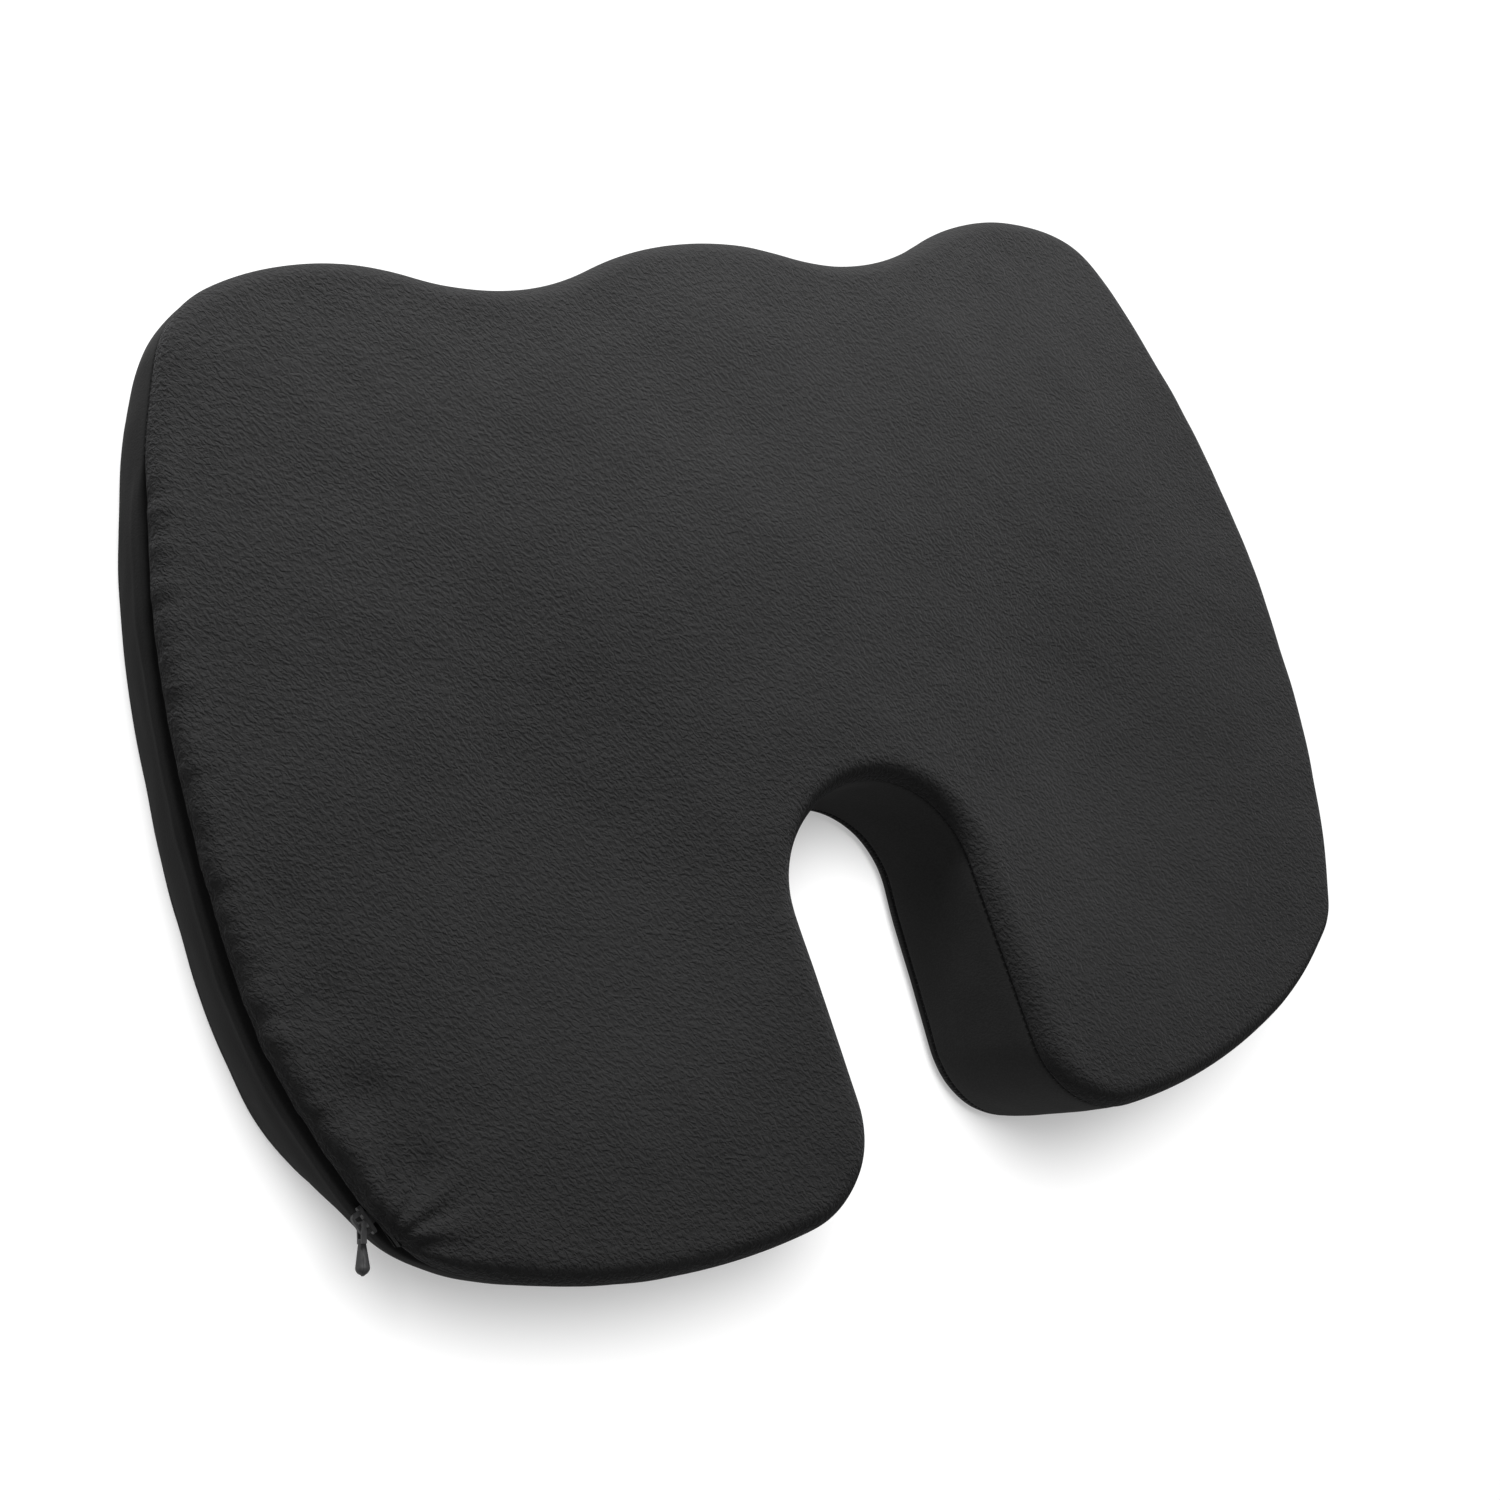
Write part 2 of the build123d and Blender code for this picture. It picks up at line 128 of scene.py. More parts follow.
# ---- colours ----
BAND_DARK = (0.0145, 0.0145, 0.0147)
BAND_MIDDLE = (0.0175, 0.0175, 0.0177)
BAND_LIGHT = (0.024, 0.024, 0.0243)
NOTCH_PAINTED_LIGHT = 3.2            # painted light: the same fabric's colour made brighter where little soft light reaches
NOTCH_PAINTED_LIGHT_FADE = (44.0, 72.0)   # distances from the middle between which the painted light fades out, mm

# ---- stage, metres and watts ----
FLOOR_GAP = 0.1             # keeps the floor off the flat undersides of the grip dots, mm
FLOOR_GREY, FLOOR_BOUNCE, FLOOR_GLOW = 0.6, 0.26, 0.38
WORLD_LIGHT = 0.20
KEY_PLACE, KEY_SIZE, KEY_POWER = (0.04, 0.70, 0.46), 0.40, 8.4
WASH_PLACE, WASH_SIZE, WASH_POWER = (-0.50, 0.60, 2.0), 1.1, 61.0

BASE, BAND_ZIP, BAND_RIGHT, BAND_NOTCH, TOP = range(5)
PIECES = {
    BASE: ("base_panel_fabric", ["cover_base_panel"]),
    BAND_ZIP: ("side_band_zip_fabric", ["side_band_zip_side"]),
    BAND_RIGHT: ("side_band_right_fabric", ["side_band_right"]),
    BAND_NOTCH: ("side_band_notch_fabric", ["side_band_notch"]),
    TOP: ("top_panel_velour", ["cover_top_panel"]),
}


# ---------------------------------------------------------------- outline and heights
def height(x, y):
    """Seat face height above the floor."""
    bowls = 0.0
    for side in (-1, 1):
        u = (x - side * BOWL_X) / BOWL_SIGMA_X
        v = (y - BOWL_Y) / BOWL_SIGMA_Y
        bowls = bowls + BOWL_DEPTH * np.exp(-0.5 * (u * u + v * v))
    return MID_HEIGHT - SLOPE * y + CROWN * (1 - (x / HALF_WIDTH) ** 2) - bowls


def circle_crossing(a, ra, b, rb, pick):
    """The crossing of two circles for which pick(x, y) is largest."""
    dx, dy = b[0] - a[0], b[1] - a[1]
    dist = math.hypot(dx, dy)
    along = (ra * ra - rb * rb + dist * dist) / (2 * dist)
    off = math.sqrt(ra * ra - along * along)
    px, py = a[0] + dx * along / dist, a[1] + dy * along / dist
    options = [(px - dy * off / dist * s, py + dx * off / dist * s) for s in (-1, 1)]
    return max(options, key=lambda p: pick(*p))


def half_chain():
    """Arc centres with signed radii (positive bulges outwards), from the knee hump to the notch wall."""
    drop = KNEE_Y - DIP_Y
    dip_r = (drop ** 2 + DIP_X ** 2) / (2 * drop) - HUMP_R
    rise, run = LOBE_Y - DIP_Y, LOBE_X - DIP_X
    lobe_r = (rise ** 2 + run ** 2) / (2 * rise) - dip_r
    hump, dip = (0.0, KNEE_Y - HUMP_R), (DIP_X, DIP_Y + dip_r)
    lobe = (LOBE_X, LOBE_Y - lobe_r)
    side, back = (HALF_WIDTH - SIDE_R, 0.0), (BACK_X, BACK_Y + BACK_R)
    front = circle_crossing(lobe, lobe_r - FRONT_CORNER_R, side, SIDE_R - FRONT_CORNER_R, lambda x, y: x + y)
    rear = circle_crossing(side, SIDE_R - REAR_CORNER_R, back, BACK_R - REAR_CORNER_R, lambda x, y: x - y)
    leg_x = NOTCH_HALF_WIDTH + LEG_CORNER_R
    leg_y = back[1] - math.sqrt((BACK_R - LEG_CORNER_R) ** 2 - (leg_x - BACK_X) ** 2)
    return [(hump, HUMP_R), (dip, -dip_r), (lobe, lobe_r), (front, FRONT_CORNER_R), (side, SIDE_R),
            (rear, REAR_CORNER_R), (back, BACK_R), ((leg_x, leg_y), LEG_CORNER_R)]


def outline(step):
    """Points and outward normals round the base outline, clockwise from the knee hump, about step apart."""
    chain = half_chain()
    joins = [(0.0, KNEE_Y)]
    for (ca, ra), (cb, rb) in zip(chain, chain[1:]):
        share = ra / (ra - rb)
        joins.append((ca[0] + (cb[0] - ca[0]) * share, ca[1] + (cb[1] - ca[1]) * share))
    joins.append((NOTCH_HALF_WIDTH, chain[-1][0][1]))
    points, normals = [], []
    for (centre, radius), start, end in zip(chain, joins, joins[1:]):
        a = math.atan2(start[1] - centre[1], start[0] - centre[0])
        turn = (math.atan2(end[1] - centre[1], end[0] - centre[0]) - a + math.pi) % (2 * math.pi) - math.pi
        count = max(2, round(abs(turn * radius) / step))
        for i in range(count):
            way = Vector((math.cos(a + turn * i / count), math.sin(a + turn * i / count)))
            points.append(Vector(centre) + way * abs(radius))
            normals.append(way * math.copysign(1, radius))
    notch_y = NOTCH_APEX_Y - NOTCH_HALF_WIDTH
    count = round((notch_y - joins[-1][1]) / step)
    for i in range(count):
        points.append(Vector((NOTCH_HALF_WIDTH, joins[-1][1] + (notch_y - joins[-1][1]) * i / count)))
        normals.append(Vector((-1, 0)))
    count = round(NOTCH_HALF_WIDTH * math.pi / 2 / step)
    for i in range(count + 1):
        way = Vector((math.cos(math.pi / 2 * i / count), math.sin(math.pi / 2 * i / count)))
        points.append(Vector((0, notch_y)) + way * NOTCH_HALF_WIDTH)
        normals.append(-way)
    p, n = np.array(points), np.array(normals)
    flip = np.array([-1, 1])
    return np.vstack([p, (p[1:-1] * flip)[::-1]]), np.vstack([n, (n[1:-1] * flip)[::-1]])


def smooth(t):
    t = np.clip(t, 0, 1)
    return t * t * (3 - 2 * t)


def zip_share(p):
    """1 along the zip, falling to 0 over ZIP_FADE beyond its ends."""
    angle = np.degrees(np.arctan2(p[:, 1], SIDE_R - HALF_WIDTH - p[:, 0]))
    fade = math.degrees(ZIP_FADE / SIDE_R)
    inside = smooth((angle - ZIP_START_DEG) / fade + 1) * smooth((ZIP_END_DEG - angle) / fade + 1)
    return np.where((p[:, 0] < ZIP_SIDE_X), inside, 0.0)


# ---------------------------------------------------------------- cover mesh
def wall_slack(p):
    """How far the wall sits in at each outline point: at every height, and further at its foot."""
    slack, foot = np.zeros(len(p)), np.zeros(len(p))
    for x, y, whole, whole_reach, low, low_reach in SLACK:
        away = np.hypot(p[:, 0] - x, p[:, 1] - y)
        slack += whole * np.exp(-((away / whole_reach) ** 2))
        foot += low * np.exp(-((away / low_reach) ** 2))
    return slack, foot


def rim_levels(p, n):
    """Inset of the seat face's edge from the outline, and the height where its rounding starts."""
    rim_z = np.full(len(p), MID_HEIGHT)
    for _ in range(12):
        rim_d = RIM_R + DRAFT * (rim_z - BASE_Z)
        q = p - n * rim_d[:, None]
        rim_z = height(q[:, 0], q[:, 1]) - RIM_R
    return rim_d, rim_z


def seam_levels(p, n, share, rim_z):
    """Height of the top seam. Along the zip it lies in one sloping plane."""
    seam_z = rim_z + RIM_R - SEAM_DROP
    for _ in range(6):
        q = p - n * (DRAFT * (seam_z - BASE_Z))[:, None]
        plane = MID_HEIGHT - SLOPE * q[:, 1] - SEAM_DROP
        seam_z = plane * share + (height(q[:, 0], q[:, 1]) - SEAM_DROP) * (1 - share)
    return seam_z


def row_placer(p, n, seam_z):
    """A function place(inset, z) that gives the points of one row. Both may differ by column."""
    slack, foot = wall_slack(p)
    zip_side = (p[:, 0] < ZIP_SIDE_X) & (n[:, 0] < 0)
    bulge_size = BAND_BULGE * np.where(zip_side, 1.0, PLAIN_BULGE_SHARE)

    def place(inset, z):
        z = np.broadcast_to(z, (len(p),))
        low = 1 - smooth((z - BASE_Z) / (seam_z - BASE_Z))
        rise = np.clip((z - BASE_SEAM_Z) / (seam_z - BASE_SEAM_Z), 0, 1)
        bulge = bulge_size * np.sin(math.pi * rise) ** 0.8
        d = inset + DRAFT * (np.minimum(z, seam_z) - BASE_Z) + slack + foot * low - bulge
        return np.column_stack([p - n * d[:, None], z])

    return place


def base_rows(place, wall, count):
    """From the base's inner ring, over its rounding, down into the base seam."""
    rows = [place(np.full(count, BASE_R + gap), BASE_Z) for gap in reversed(RING_GAPS)]
    for degrees in (90, 67, 45, 22):
        turn = math.radians(degrees)
        inset, rise = BASE_R * (1 - math.cos(turn)), BASE_R * (1 - math.sin(turn))
        rows.append(place(np.full(count, inset), BASE_Z + rise))
    for drop, out in ((1.3, 0.0), (0.5, -0.2), (0.0, -0.7)):
        rows.append(wall(BASE_SEAM_Z - drop, out))
    return [(BASE, row) for row in rows]


def band_rows(wall, share, seam_z, wide, deep):
    """Up the side band: out of the base seam, over the zip facing's pressed edge, into the groove."""
    low, high = BASE_SEAM_Z + 1.3, seam_z - CREASE_DROP - 4.5
    rows = [wall(BASE_SEAM_Z + 0.5, -0.2), wall(low, 0.1)]
    for k in range(1, WALL_ROWS):
        rows.append(wall(low + (high - low) * k / WALL_ROWS, share * 0.4 * k / WALL_ROWS))
    for drop, out in ((4.5, 0.5), (2.4, 0.7), (1.0, 0.95), (0.0, 1.0), (-0.8, 0.85), (-2.2, 0.55)):
        rows.append(wall(seam_z - CREASE_DROP - drop, share * CREASE_OUT * out))
    rows.append(wall(seam_z - wide - 0.9, 0.15 * share))
    rows.append(wall(seam_z - wide - 0.2, -0.3 + 0.1 * share))
    rows.append(wall(seam_z - wide, -deep * 0.45))
    rows.append(wall(seam_z - wide * 0.8, -deep))
    return [(BAND_ZIP, row) for row in rows]


def lip_rows(wall, share, seam_z, wide, deep):
    """The seat panel's own lip, out of the groove."""
    back = ZIP_SHADOW_GAP * share
    rows = [
        wall(seam_z + wide * 0.8, -deep),
        wall(seam_z + wide, -np.maximum(deep * 0.45, back * 1.08)),
        wall(seam_z + wide + 0.2, -np.maximum(0.3, back)),
        wall(seam_z + wide + 1.0, 0.25 - back),
    ]
    return [(TOP, row) for row in rows]


def rim_rows(place, share, seam_z, wide, rim):
    """Over the seat panel's rounded rim."""
    rim_d, rim_z = rim
    back = ZIP_SHADOW_GAP * share
    rows = []
    for degrees, held in ((14, 0.85), (31, 0.55), (48, 0.28), (66, 0.1), (80, 0.0)):
        turn = math.radians(degrees)
        d = rim_d - DRAFT * (seam_z - BASE_Z) - RIM_R * math.cos(turn) + back * held
        rows.append((TOP, place(d, np.maximum(rim_z + RIM_R * math.sin(turn), seam_z + wide + 1.2))))
    return rows


def cover_rows(step):
    """Rows of the cover from the base's inner ring up to the seat face's inner ring, as (piece, points),
    with each column's zip share and seam height."""
    p, n = outline(step)
    share = zip_share(p)
    wide = SEAM_HALF + (GROOVE_HALF - SEAM_HALF) * share
    deep = SEAM_DEPTH + (GROOVE_DEPTH - SEAM_DEPTH) * share
    rim_d, rim_z = rim_levels(p, n)
    seam_z = seam_levels(p, n, share, rim_z)
    place = row_placer(p, n, seam_z)

    def wall(z, out=0.0):
        return place(np.zeros(len(p)) - out, z)

    rows = base_rows(place, wall, len(p))
    rows += band_rows(wall, share, seam_z, wide, deep)
    rows += lip_rows(wall, share, seam_z, wide, deep)
    rows += rim_rows(place, share, seam_z, wide, (rim_d, rim_z))
    slack, _ = wall_slack(p)
    for gap in (1.0,) + RING_GAPS:
        q = p - n * (rim_d + slack + gap)[:, None]
        rows.append((TOP, np.column_stack([q, height(q[:, 0], q[:, 1])])))
    return rows, share, seam_z


def fill(ring, step, level):
    """Points inside a closed ring and the triangles that join them to it. level(x, y) gives the height."""
    loop = [Vector(q) for q in ring[:, :2]]
    low, high = ring[:, :2].min(0), ring[:, :2].max(0)
    inner = []
    edges = np.roll(ring[:, :2], -1, axis=0) - ring[:, :2]
    for row, y in enumerate(np.arange(low[1] + step, high[1], step * 0.866)):
        xs = np.arange(low[0] + (row % 2) * step / 2, high[0], step)
        cross = (ring[:, 1] <= y) != (np.roll(ring[:, 1], -1) <= y)
        at = ring[cross, 0] + (y - ring[cross, 1]) / edges[cross, 1] * edges[cross, 0]
        inside = (at[None, :] > xs[:, None]).sum(1) % 2 == 1
        gap = np.sqrt(((ring[None, :, :2] - np.column_stack([xs, np.full(len(xs), y)])[:, None]) ** 2).sum(2))
        inner += [Vector((x, y)) for x in xs[inside & (gap.min(1) > step * 0.62)]]
    face = list(range(len(loop)))
    verts, _, faces, origin, _, _ = delaunay_2d_cdt(loop + inner, [], [face], 1, 1e-4)
    order = {}
    extra = []
    for k, source in enumerate(origin):
        if source and source[0] < len(loop):
            order[k] = source[0]
        else:
            order[k] = len(loop) + len(extra)
            extra.append((verts[k].x, verts[k].y))
    extra = np.array(extra)
    extra = np.column_stack([extra, level(extra[:, 0], extra[:, 1])])
    return extra, [[order[k] for k in f] for f in faces]


def shell(rows, open_columns, steps, level_top, level_base):
    """One closed mesh from the rows, with its face pieces. Zip columns stay open between the two lips."""
    count = len(rows[0][1])
    points = np.vstack([r for _, r in rows])
    faces, piece = [], []
    plan = rows[0][1]
    for r in range(len(rows) - 1):
        here = rows[r + 1][0] if rows[r][0] == rows[r + 1][0] else min(rows[r][0], rows[r + 1][0])
        parting = rows[r][0] != TOP and rows[r + 1][0] == TOP
        for i in range(count):
            j = (i + 1) % count
            if parting and open_columns[i] and open_columns[j]:
                continue
            faces.append((r * count + i, (r + 1) * count + i, (r + 1) * count + j, r * count + j))
            piece.append(band_of(plan[i]) if here == BAND_ZIP else here)
    ends = ((0, steps[0], level_base, BASE), (len(rows) - 1, steps[1], level_top, TOP))
    for ring, step, level, which in ends:
        extra, triangles = fill(rows[ring][1], step, level)
        offset = len(points)
        points = np.vstack([points, extra])
        for f in triangles:
            f = [ring * count + k if k < count else offset + k - count for k in f]
            a, b, c = points[f[0]], points[f[1]], points[f[2]]
            up = np.cross((b - a)[:2], (c - a)[:2])
            if (up > 0) != (which == TOP):
                f = f[::-1]
            faces.append(tuple(f))
            piece.append(which)
    return points, faces, piece


def band_of(q):
    """Which side band a wall point belongs to."""
    if q[1] < 0 and abs(q[0]) < NOTCH_BAND_X:
        return BAND_NOTCH
    return BAND_RIGHT if q[0] > 0 else BAND_ZIP


def new_mesh(name, points, faces, piece=None, attributes=()):
    mesh = bpy.data.meshes.new(name)
    mesh.from_pydata((np.asarray(points) * MM).tolist(), [], faces)
    if piece is not None:
        mesh.polygons.foreach_set("material_index", np.array(piece, np.int32))
    for label, values in attributes:
        mesh.attributes.new(label, "FLOAT", "POINT").data.foreach_set("value", np.asarray(values, np.float32))
    mesh.polygons.foreach_set("use_smooth", np.ones(len(mesh.polygons), bool))
    mesh.update()
    obj = bpy.data.objects.new(name, mesh)
    bpy.context.scene.collection.objects.link(obj)
    return obj


def evaluated(obj):
    """The object's mesh with its modifiers applied, as a new mesh."""
    graph = bpy.context.evaluated_depsgraph_get()
    whole = obj.evaluated_get(graph)
    return bpy.data.meshes.new_from_object(whole, preserve_all_data_layers=True, depsgraph=graph)


def points_of(mesh):
    flat = np.zeros(len(mesh.vertices) * 3, np.float32)
    mesh.vertices.foreach_get("co", flat)
    return flat.reshape(-1, 3).astype(float) / MM


def normals_of(mesh):
    flat = np.zeros(len(mesh.vertices) * 3, np.float32)
    mesh.vertex_normals.foreach_get("vector", flat)
    return flat.reshape(-1, 3).astype(float)


def values_of(mesh, label):
    flat = np.zeros(len(mesh.vertices), np.float32)
    mesh.attributes[label].data.foreach_get("value", flat)
    return flat.astype(float)


def noise_at(q, seed):
    """Smooth noise, about -1 to 1, at each point."""
    shift = Vector((seed * 17.3, seed * 5.1, seed * 9.7))
    return np.array([noise.noise(Vector(v) + shift) for v in q])


def seam_distance(rows, seam_z, extra):
    """Height above the top seam for wall points; a large number for the seat face and base."""
    values = [row[:, 2] - seam_z for _, row in rows[:-len(RING_GAPS) - 1]]
    values += [np.full(len(seam_z), RIM_R + 8.0 + gap) for gap in (0.0,) + RING_GAPS]
    return np.concatenate(values + [np.full(extra, 30.0)])


def build_cover():
    rows, share, seam_z = cover_rows(COLUMN_STEP)
    open_columns = share > 0.999
    steps = (BASE_STEP, TOP_STEP)
    points, faces, piece = shell(rows, open_columns, steps, height, lambda x, y: np.full(len(x), BASE_Z))
    count = len(share)
    extra = len(points) - len(rows) * count
    along = np.concatenate([np.tile(share, len(rows)), np.zeros(extra)])
    attributes = (("seam", seam_distance(rows, seam_z, extra)), ("zip", along))
    cover = new_mesh("cover", points, faces, piece, attributes)
    for _ in PIECES:
        cover.data.materials.append(None)
    return cover


def refine(cover):
    """One subdivision, then dents and puckers in the fabric."""
    cover.modifiers.new("subdivide", "SUBSURF").levels = 1
    mesh = evaluated(cover)
    q, normal = points_of(mesh), normals_of(mesh)
    seam, along = values_of(mesh, "seam"), values_of(mesh, "zip")
    q = q + normal * fabric_relief(q, seam, along)[:, None]
    mesh.vertices.foreach_set("co", (q * MM).astype(np.float32).ravel())
    mesh.update()
    cover.modifiers.clear()
    cover.data = mesh


def fabric_relief(q, seam, along):
    """How far each point of the cover moves outwards, mm."""
    base = q[:, 2] < BASE_Z + 1.5
    pad = 0.8 * noise_at(q / 42.0, 1) + 0.35 * noise_at(q / 15.0, 2)
    near_zip = along * smooth((seam - 1.5) / 2.0) * (1 - smooth((seam - 9.0) / 12.0))
    gathers = noise_at(q * np.array([0.03, 0.14, 0.03]), 3)
    gathers = gathers + 0.5 * noise_at(q * np.array([0.06, 0.33, 0.06]), 4)
    relief = pad * smooth((np.abs(seam) - 1.0) / 8.0) + 0.9 * near_zip * gathers
    relief += pulled_folds(q) * smooth((seam - 2.0) / 5.0)
    return np.where(base, 0.0, relief)


def pulled_folds(q):
    """Shallow folds of the seat panel, fanning out from the zip's closed end, and soft dents by the zip."""
    dx, dy = q[:, 0] - FOLD_CENTRE[0], q[:, 1] - FOLD_CENTRE[1]
    away = np.hypot(dx, dy)
    turn = np.arctan2(dy, dx)
    wobble = noise_at(q / 20.0, 5)
    fan = np.cos(turn * FOLD_COUNT + 1.5 * wobble) * smooth(away / 8.0) * (1 - smooth((away - 14.0) / 26.0))
    folds = FOLD_HEIGHT * fan
    for x, y, depth, reach_x, reach_y in DENTS:
        folds -= depth * np.exp(-(((q[:, 0] - x) / reach_x) ** 2) - ((q[:, 1] - y) / reach_y) ** 2)
    return folds


def split(cover):
    """The cover's pieces as objects of their own, cut along the seams."""
    mesh = cover.data
    q = points_of(mesh)
    labels = [(label, values_of(mesh, label)) for label in ("seam", "zip")]
    which = np.zeros(len(mesh.polygons), np.int32)
    mesh.polygons.foreach_get("material_index", which)
    faces = [tuple(f.vertices) for f in mesh.polygons]
    made = {}
    for piece, (name, nodes) in PIECES.items():
        mine = [faces[k] for k in np.nonzero(which == piece)[0]]
        used = np.unique(np.concatenate([np.array(f) for f in mine]))
        index = {int(v): k for k, v in enumerate(used)}
        obj = new_mesh(name, q[used], [tuple(index[v] for v in f) for f in mine],
                       attributes=[(label, values[used]) for label, values in labels])
        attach(obj, "cushion")
        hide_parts(*nodes)
        made[piece] = obj
    bpy.data.objects.remove(cover)
    return made


# ---------------------------------------------------------------- inner layers
def inner_layer(name, inset, nodes):
    """Plain closed form of the padding inside the cover, every face moved in by inset."""
    p, n = outline(INNER_STEP)
    slack, tuck = wall_slack(p)
    round_r = 4.0
    top_z = np.full(len(p), MID_HEIGHT)
    for _ in range(8):
        q = p - n * (inset + round_r + DRAFT * top_z)[:, None]
        top_z = height(q[:, 0], q[:, 1]) - inset

    def ring(d, z):
        z = np.broadcast_to(z, (len(p),))
        low = 1 - smooth((z - BASE_Z) / (top_z - BASE_Z))
        return np.column_stack([p - n * (d + DRAFT * z + slack + tuck * low)[:, None], z])

    foot = BASE_Z + inset
    rows = [(BASE, ring(inset + round_r + 7.0, foot))]
    for turn in (90, 45, 0):
        away, rise = 1 - math.cos(math.radians(turn)), 1 - math.sin(math.radians(turn))
        rows.append((BASE, ring(inset + round_r * away, foot + round_r * rise)))
    for k in (1, 2, 3):
        rows.append((BASE, ring(inset, foot + round_r + (top_z - foot - 2 * round_r) * k / 4)))
    for turn in (0, 45, 90):
        away, rise = 1 - math.cos(math.radians(turn)), 1 - math.sin(math.radians(turn))
        rows.append((BASE, ring(inset + round_r * away, top_z - round_r * rise)))
    q = p - n * (inset + round_r + DRAFT * top_z + slack + 7.0)[:, None]
    rows.append((TOP, np.column_stack([q, height(q[:, 0], q[:, 1]) - inset])))
    points, faces, _ = shell(rows, np.zeros(len(p), bool), (INNER_STEP * 1.5, INNER_STEP),
                             lambda x, y: height(x, y) - inset, lambda x, y: foot + 0 * x)
    obj = new_mesh(name, points, faces)
    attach(obj, "cushion")
    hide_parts(*nodes)
    return obj


# ---------------------------------------------------------------- repeated small pieces
def tube(centres, across, up, radius, sides=6):
    """Points and faces of a closed tube through centres, its section spanned by across and up."""
    points, faces = [], []
    for k, (centre, r) in enumerate(zip(centres, radius)):
        for i in range(sides):
            turn = 2 * math.pi * i / sides
            points.append(centre + across * (r * math.cos(turn)) + up[k] * (r * math.sin(turn)))
    for k in range(len(centres) - 1):
        for i in range(sides):
            j = (i + 1) % sides
            faces.append((k * sides + i, k * sides + j, (k + 1) * sides + j, (k + 1) * sides + i))
    faces.append(tuple(range(sides))[::-1])
    faces.append(tuple((len(centres) - 1) * sides + i for i in range(sides)))
    return points, faces


def gather(name, parts, body, nodes):
    """One object from many small closed forms."""
    points, faces = [], []
    for some_points, some_faces in parts:
        faces += [tuple(k + len(points) for k in f) for f in some_faces]
        points += [tuple(q) for q in some_points]
    obj = new_mesh(name, points, faces)
    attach(obj, body)
    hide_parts(*nodes)
    return obj


def along_outline(pitch):
    """Outline points, normals and walking directions, pitch apart, with the zip share of each."""
    p, n = outline(0.7)
    length = np.concatenate([[0], np.cumsum(np.hypot(*(np.roll(p, -1, 0) - p).T))])
    want = np.arange(0, length[-1] - pitch / 2, pitch)
    pick = np.clip(np.searchsorted(length, want), 0, len(p) - 1)
    p, n = p[pick], n[pick]
    return p, n, np.column_stack([n[:, 1], -n[:, 0]]), zip_share(p)


def stitches(name, nodes, level, line, skip_zip):
    """Thread bars across a seam. level(x, y) is the seam's height; line is each bar's path, as
    (share of its half length, out)."""
    parts = []
    p, n, t, share = along_outline(STITCH_PITCH)
    slack, foot = wall_slack(p)
    for k in range(len(p)):
        if skip_zip and share[k] > 0.02:
            continue
        z = level(p[k, 0], p[k, 1])
        low = 1 - smooth((z - BASE_Z) / (MID_HEIGHT - SEAM_DROP - BASE_Z))
        inset = DRAFT * (z - BASE_Z) + slack[k] + (foot[k] * low if z < 20 else 0.0)
        out = Vector((*n[k], 0))
        across = Vector((*t[k], 0))
        seat = Vector((*(p[k] - n[k] * inset), z))
        lean = across * 0.25
        centres = [seat + (Vector((0, 0, STITCH_HALF)) + lean) * a + out * d for a, d in line]
        ups = [(out * 0.7 - Vector((0, 0, 0.7)) * math.copysign(1, -a)).normalized() if abs(a) > 0.9 else out
               for a, _ in line]
        parts.append(tube(centres, across, ups, [STITCH_R * 0.8, STITCH_R, STITCH_R, STITCH_R * 0.8]))
    return gather(name, parts, "cushion", nodes)


def grip_dots():
    """Raised silicone dots in three fields under the base, flat where they meet the floor."""
    parts = []
    sides = 10
    rings = ((DOT_DROP, DOT_R), (0.45, DOT_R * 0.97), (0.12, DOT_R * 0.78), (0.0, DOT_R * 0.45))
    ups = [Vector((0, -1, 0))] * len(rings)
    radii = [r for _, r in rings]
    row_step = DOT_PITCH * math.sqrt(3) / 2
    for x0, x1, y0, y1 in GRIP_FIELDS:
        for row in range(int((y1 - y0 - 2 * DOT_R) / row_step) + 1):
            shift = DOT_PITCH / 2 * (row % 2)
            for column in range(int((x1 - x0 - 2 * DOT_R - shift) / DOT_PITCH) + 1):
                x, y = x0 + DOT_R + shift + column * DOT_PITCH, y0 + DOT_R + row * row_step
                centres = [Vector((x, y, z)) for z, _ in rings]
                parts.append(tube(centres, Vector((1, 0, 0)), ups, radii, sides))
    return gather("grip_dots", parts, "cushion", ["grip_print"])


def zip_frame(frame):
    """Centre, radius and up direction of the circle that the zip follows, from the slider's joint."""
    joint = next(j for j in frame["joints"] if j["name"] == "zip_travel")
    pin = next(j for j in frame["joints"] if j["name"] == "pull_swing")
    centre = Vector(joint["pos_m"]) / MM
    up = -Vector(joint["axis"]).normalized()
    return centre, (Vector(pin["pos_m"]) / MM - centre).length - 1.5, up


def coil_teeth(name, frame, side, nodes):
    """Moulded coil of one zip tape: closed loops, one per pitch."""
    centre, radius, up = zip_frame(frame)
    step = math.degrees(TOOTH_PITCH / radius)
    count = int((COIL_END_DEG - COIL_START_DEG) / step)
    parts = []
    for k in range(count):
        turn = math.radians(COIL_START_DEG + step * (k + 0.5 + (0.25 if side > 0 else -0.25)))
        out = Vector((-math.cos(turn), math.sin(turn), 0))
        out = (out - up * out.dot(up)).normalized()
        middle = centre + out * (radius + TOOTH_D) + up * (side * TOOTH_N)
        parts.append(loop(middle, out * TOOTH_HALF_D, up * TOOTH_HALF_N, out.cross(up)))
    return gather(name, parts, "cushion", nodes)


